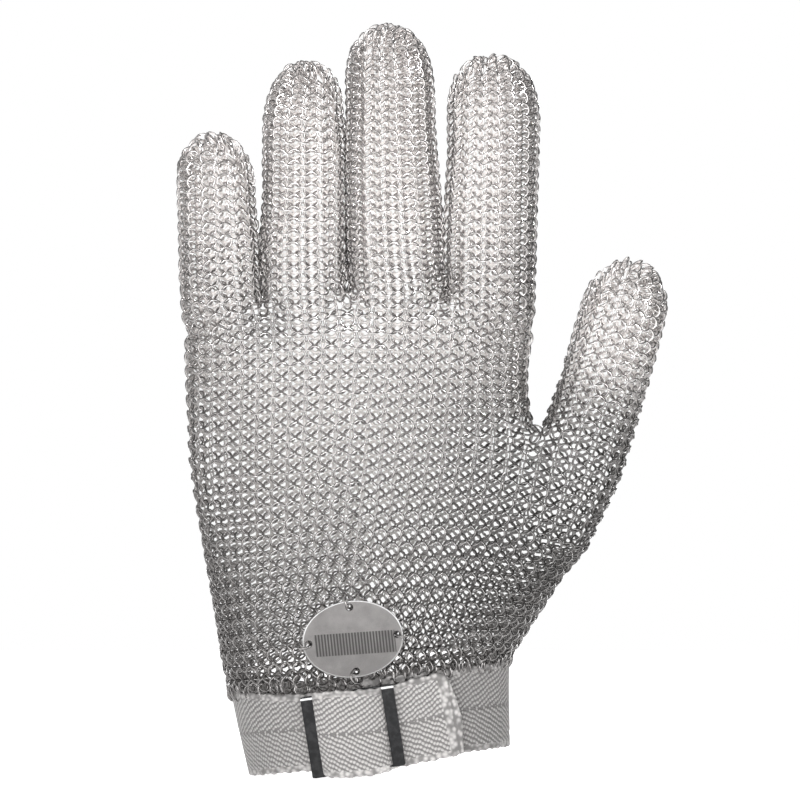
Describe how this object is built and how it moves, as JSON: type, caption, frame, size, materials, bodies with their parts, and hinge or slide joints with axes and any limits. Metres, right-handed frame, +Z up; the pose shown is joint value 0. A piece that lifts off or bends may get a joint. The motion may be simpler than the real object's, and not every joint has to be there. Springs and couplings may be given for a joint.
{
  "type": "chainmail glove",
  "caption": "Five-finger glove of linked steel rings that guards the hand from cuts, with a webbing wrist strap, slider and oval tag.",
  "frame": {"origin": "the middle of the wrist opening, level with the lower edge of the strap", "axes": "+Z up the hand towards the fingertips, -Y towards the side with the tag and the slider, +X towards the thumb"},
  "size_m": [0.1299, 0.0565, 0.1991],
  "materials": {
    "mail_steel": "bright stainless wire rings, lightly scuffed",
    "tag_steel": "satin stainless plate with an etched block of bars",
    "slider_steel": "polished dark steel",
    "white_webbing": "white herringbone webbing"
  },
  "bodies": {
    "root": {"mail_hand": "mail_steel", "mail_knuckles": "mail_steel", "mail_thumb": "mail_steel", "mail_index": "mail_steel", "mail_middle": "mail_steel", "mail_ring": "mail_steel", "mail_little": "mail_steel", "wrist_strap": "white_webbing", "strap_slider": "slider_steel", "tag_plate": "tag_steel"}
  },
  "joints": []
}
